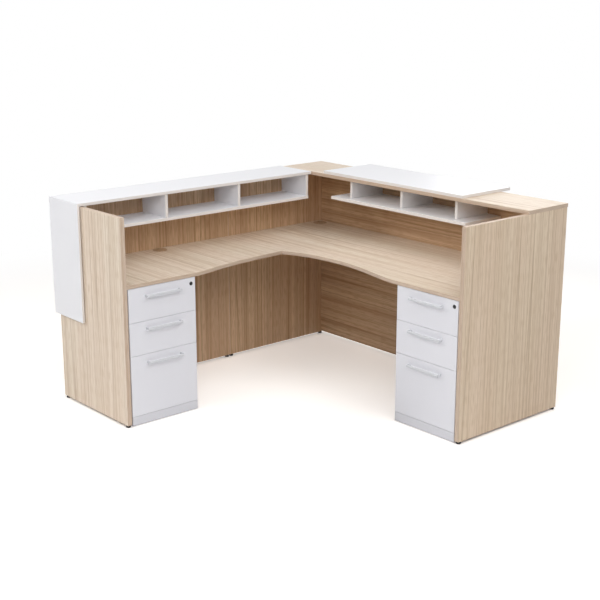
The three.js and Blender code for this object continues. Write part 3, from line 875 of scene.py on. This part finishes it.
for node in [name for name in nodes if name.startswith("glide_")]:
    low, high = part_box(node)
    middle = (low + high) / 2
    profile = [(0, 0), (FOOT["radius"] - FOOT["rim"], 0)]
    for step in range(4):
        angle = math.pi / 2 * step / 3
        lift = FOOT["rim"] * (1 - math.cos(angle))
        profile.append((FOOT["radius"] - FOOT["rim"] * (1 - math.sin(angle)), lift))
    profile += [(FOOT["radius"], FOOT["top"] - FOOT["rim"]), (FOOT["radius"] - FOOT["rim"], FOOT["top"] - 1 * MM)]
    profile.append((STEM["radius"] + 1.5 * MM, FOOT["top"]))
    turns = int((high.z - FOOT["top"]) / STEM["pitch"])
    for turn in range(turns):
        height = FOOT["top"] + turn * STEM["pitch"]
        profile += [(STEM["radius"] - STEM["depth"], height), (STEM["radius"], height + STEM["pitch"] / 2)]
    profile += [(STEM["radius"] - STEM["depth"], high.z), (0, high.z)]
    bm = turned(profile)
    bm.transform(Matrix.Translation((middle.x, middle.y, 0)))
    glide = finished(f"{node}_finished", bm, "black_nylon", body_of[node], node)
    glide.data.materials.append(finishes["zinc_plated_steel"][0])
    for polygon in glide.data.polygons:
        on_stem = polygon.center.z > FOOT["top"] - 0.1 * MM
        polygon.material_index = int(on_stem)
print("glides stand", round(high.z / MM, 1), "mm high")

# %% [markdown]
# ## Locks
# Each top drawer has a cam lock: a bezel that stays in the front, and a barrel that turns in it with
# a keyway in its face and a cam behind. They are two pieces, because only the barrel turns. The
# barrel is spun lying along z and then laid down to point out of the front.

# %% Locks
BARREL = {"radius": 8 * MM, "proud": 2 * MM, "chamfer": 0.7 * MM, "neck": 7.4 * MM}
BEZEL = {"inside": 8.4 * MM, "outside": 9.8 * MM, "proud": 1.4 * MM, "round": 0.5 * MM}
KEYWAY = {"wide": 2.0 * MM, "tall": 7 * MM, "deep": 3 * MM}
CAM = {"length": 16 * MM, "width": 10 * MM, "thick": 2 * MM}
LAID = Matrix.Rotation(math.pi / 2, 4, "X")       # z of a spun part comes to point out of the front

for wing in WINGS:
    node = f"{wing}_lock"
    low, high = cabinet_box(wing, node)
    axis = Vector((high.x - BARREL["radius"], 0, (low.z + high.z) / 2))
    behind = high.y
    proud = BARREL["proud"]
    profile = [
        (0, proud), (BARREL["radius"] - BARREL["chamfer"], proud), (BARREL["radius"], proud - BARREL["chamfer"]),
        (BARREL["radius"], -3 * MM), (BARREL["neck"], -3.5 * MM), (BARREL["neck"], -behind), (0, -behind),
    ]
    keyway_tool = bmesh.new()
    block(keyway_tool, (-KEYWAY["wide"] / 2, -KEYWAY["tall"] / 2, proud - KEYWAY["deep"]),
          (KEYWAY["wide"] / 2, KEYWAY["tall"] / 2, proud + 1 * MM))
    bm = carve(turned(profile), keyway_tool)
    bm.transform(LAID)
    cam = block(bm, (-CAM["length"], behind - CAM["thick"], -CAM["width"] / 2), (0, behind, CAM["width"] / 2))
    corners = [edge for edge in bm.edges if all(v in cam for v in edge.verts)
               and all(abs(v.co.x + CAM["length"]) < JOIN for v in edge.verts) and abs(edge.verts[0].co.z - edge.verts[1].co.z) < JOIN]
    bmesh.ops.bevel(bm, geom=corners, offset=CAM["width"] * 0.4, segments=5, profile=0.5, affect="EDGES")
    bm.transform(CABINET[wing] @ Matrix.Translation(axis))
    finished(f"{node}_finished", bm, "satin_black_coat", body_of[node], node)

    ring = [
        (BEZEL["inside"], -4 * MM * 0), (BEZEL["outside"], 0), (BEZEL["outside"], BEZEL["proud"] - BEZEL["round"]),
        (BEZEL["outside"] - BEZEL["round"], BEZEL["proud"]), (BEZEL["inside"] + BEZEL["round"] / 2, BEZEL["proud"]),
        (BEZEL["inside"], BEZEL["proud"] - BEZEL["round"] / 2), (BEZEL["inside"], -4 * MM * 0),
    ]
    bm = turned(ring)
    bm.transform(CABINET[wing] @ Matrix.Translation(axis) @ LAID)
    finished(f"{wing}_lock_bezel", bm, "satin_black_coat", f"{wing}_top_drawer")
print("locks at", round(axis.z / MM), "mm above the floor")

# %% [markdown]
# ## Joint plate
# Under the corner a flat steel plate bridges the joint between the two worksurfaces.

# %% Joint plate
finished("seam_plate_finished", eased_board("seam_plate", 0.4 * MM), "zinc_plated_steel", body_of["seam_plate"], "seam_plate")

# %% [markdown]
# ## Screws
# Small screws hold the plate, the cleats, the hutches, the slides and the pulls. They are all the
# same pan head in different sizes, so one Geometry Nodes tree makes them: it builds a head with a
# cross recess, puts one on every point, turns it to face along the point's own direction with a
# random twist, and makes the instances real so that the export keeps them.

# %% Screw tree
screw_tree = bpy.data.node_groups.new("Screw heads", "GeometryNodeTree")
sockets = screw_tree.interface
sockets.new_socket("Points", in_out="INPUT", socket_type="NodeSocketGeometry")
for name in ("Head radius", "Head height", "Recess width"):
    sockets.new_socket(name, in_out="INPUT", socket_type="NodeSocketFloat")
sockets.new_socket("Seed", in_out="INPUT", socket_type="NodeSocketInt")
sockets.new_socket("Screws", in_out="OUTPUT", socket_type="NodeSocketGeometry")

given = add(screw_tree, "NodeGroupInput").outputs
crown = add(screw_tree, "ShaderNodeMath", {0: given["Head radius"], 1: 0.72}, operation="MULTIPLY").outputs[0]
reach = add(screw_tree, "ShaderNodeMath", {0: given["Head radius"], 1: 1.1}, operation="MULTIPLY").outputs[0]
head = add(screw_tree, "GeometryNodeMeshCone", {
    "Vertices": 16, "Radius Top": crown, "Radius Bottom": given["Head radius"], "Depth": given["Head height"]})
level = add(screw_tree, "ShaderNodeCombineXYZ", {"Z": given["Head height"]}).outputs[0]
arms = []
for long_side, short_side in (("X", "Y"), ("Y", "X")):
    size = add(screw_tree, "ShaderNodeCombineXYZ", {
        long_side: reach, short_side: given["Recess width"], "Z": given["Head height"]}).outputs[0]
    bar = add(screw_tree, "GeometryNodeMeshCube", {"Size": size}).outputs["Mesh"]
    arms.append(add(screw_tree, "GeometryNodeTransform", {"Geometry": bar, "Translation": level}).outputs[0])
cross = add(screw_tree, "GeometryNodeMeshBoolean", {
    "Mesh 1": head.outputs["Mesh"], "Mesh 2": arms}, operation="DIFFERENCE").outputs["Mesh"]
twist = add(screw_tree, "FunctionNodeRandomValue", {3: math.pi / 2, "Seed": given["Seed"]}, data_type="FLOAT").outputs[1]
spun = add(screw_tree, "FunctionNodeAxisAngleToRotation", {"Axis": (0, 0, 1), "Angle": twist}).outputs[0]
facing = add(screw_tree, "GeometryNodeInputNamedAttribute", {"Name": "facing"}, data_type="FLOAT_VECTOR").outputs[0]
aimed = add(screw_tree, "FunctionNodeAlignRotationToVector", {"Rotation": spun, "Vector": facing}, axis="Z").outputs[0]
placed = add(screw_tree, "GeometryNodeInstanceOnPoints", {
    "Points": given["Points"], "Instance": cross, "Rotation": aimed}).outputs[0]
real = add(screw_tree, "GeometryNodeRealizeInstances", {"Geometry": placed}).outputs[0]
coated = add(screw_tree, "GeometryNodeSetMaterial", {"Geometry": real, "Material": finishes["zinc_plated_steel"][0]}).outputs[0]
add(screw_tree, "NodeGroupOutput", {"Screws": coated})
print("screw tree with", len(screw_tree.nodes), "nodes")

# %% Screw pieces
SCREW_SEED = 11


def screws(name, body, points, radius):
    """One piece of screw heads on points of (place, facing), with heads of that radius."""
    sizes = {"Head radius": radius, "Head height": radius * 0.55, "Recess width": radius * 0.3, "Seed": SCREW_SEED}
    mesh = bpy.data.meshes.new(name + "_points")
    mesh.from_pydata([place for place, _ in points], [], [])
    direction = mesh.attributes.new("facing", "FLOAT_VECTOR", "POINT")
    direction.data.foreach_set("vector", [part for _, way in points for part in way])
    holder = bpy.data.objects.new(name + "_points", mesh)
    scene.collection.objects.link(holder)
    modifier = holder.modifiers.new("screws", "NODES")
    modifier.node_group = screw_tree
    for socket in screw_tree.interface.items_tree:
        if socket.in_out == "INPUT" and socket.name in sizes:
            modifier[socket.identifier] = sizes[socket.name]
    made = bpy.data.meshes.new_from_object(holder.evaluated_get(bpy.context.evaluated_depsgraph_get()))
    made.name = name
    bpy.data.objects.remove(holder)
    piece = bpy.data.objects.new(name, made)
    scene.collection.objects.link(piece)
    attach(piece, body)
    print(name, len(points), "screws,", len(made.polygons), "faces")
    return piece


def evenly(start, end, count):
    return [start + (end - start) * (i + 0.5) / count for i in range(count)]


# %% [markdown]
# ### Where the screws go
# On the desk they come up through the joint plate, the cleats and the hutch shelves, all from below,
# where nobody looks. In the cabinets they hold the slide channels, and in each drawer two come
# through from behind to hold the pull.

# %% Desk screws
DOWN, UP = (0, 0, -1), (0, 0, 1)
points = []
low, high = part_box("seam_plate")
points += [((x, y, low.z), DOWN) for x in evenly(low.x, high.x, 4) for y in evenly(low.y, high.y, 3)]
for node, axis in (("main_cleat", Y), ("return_cleat", X)):
    low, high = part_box(node)
    for place in evenly(low[axis], high[axis], 5):
        spot = (low + high) / 2
        spot[axis] = place
        points.append(((spot.x, spot.y, low.z), DOWN))
for shelf, uprights in (("return_shelf", [n for n in HUTCHES if n.startswith("return_") and n != "return_shelf"]),
                        ("main_shelf", [n for n in HUTCHES if n.startswith("main_") and n != "main_shelf"])):
    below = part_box(shelf)[0].z
    for upright in uprights:
        low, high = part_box(upright)
        middle = (low + high) / 2
        along = X if shelf == "main_shelf" else Y
        for place in evenly(low[along], high[along], 2):
            spot = middle.copy()
            spot[along] = place
            points.append(((spot.x, spot.y, below), DOWN))
screws("desk_screws", "desk", points, 4.0 * MM)

# %% Cabinet and drawer screws
PULL_LEG = 9 * MM

for wing in WINGS:
    turn = CABINET[wing].to_3x3()
    points = []
    for side, way in (("left", (1, 0, 0)), ("right", (-1, 0, 0))):
        low, high = cabinet_box(wing, f"{wing}_slides_{side}")
        face = low.x + GAUGE if side == "left" else high.x - GAUGE
        for bottom, top in slide_rows(wing):
            for y in evenly(low.y, high.y, 3):
                points.append((CABINET[wing] @ Vector((face, y, (bottom + top) / 2)), turn @ Vector(way)))
    screws(f"{wing}_slide_screws", "desk", points, 3.4 * MM)

    for drawer in DRAWERS:
        low, high = cabinet_box(wing, f"{wing}_{drawer}_drawer_pull")
        tray_low, tray_high = drawer_tray(wing, drawer)
        level = min((low.z + high.z) / 2, tray_high.z - 12 * MM)
        face = tray_low.y + WALL
        points = [(CABINET[wing] @ Vector((x, face, level)), turn @ Vector((0, 1, 0)))
                  for x in (low.x + PULL_LEG / 2, high.x - PULL_LEG / 2)]
        screws(f"{wing}_{drawer}_pull_screws", f"{wing}_{drawer}_drawer", points, 4.2 * MM)
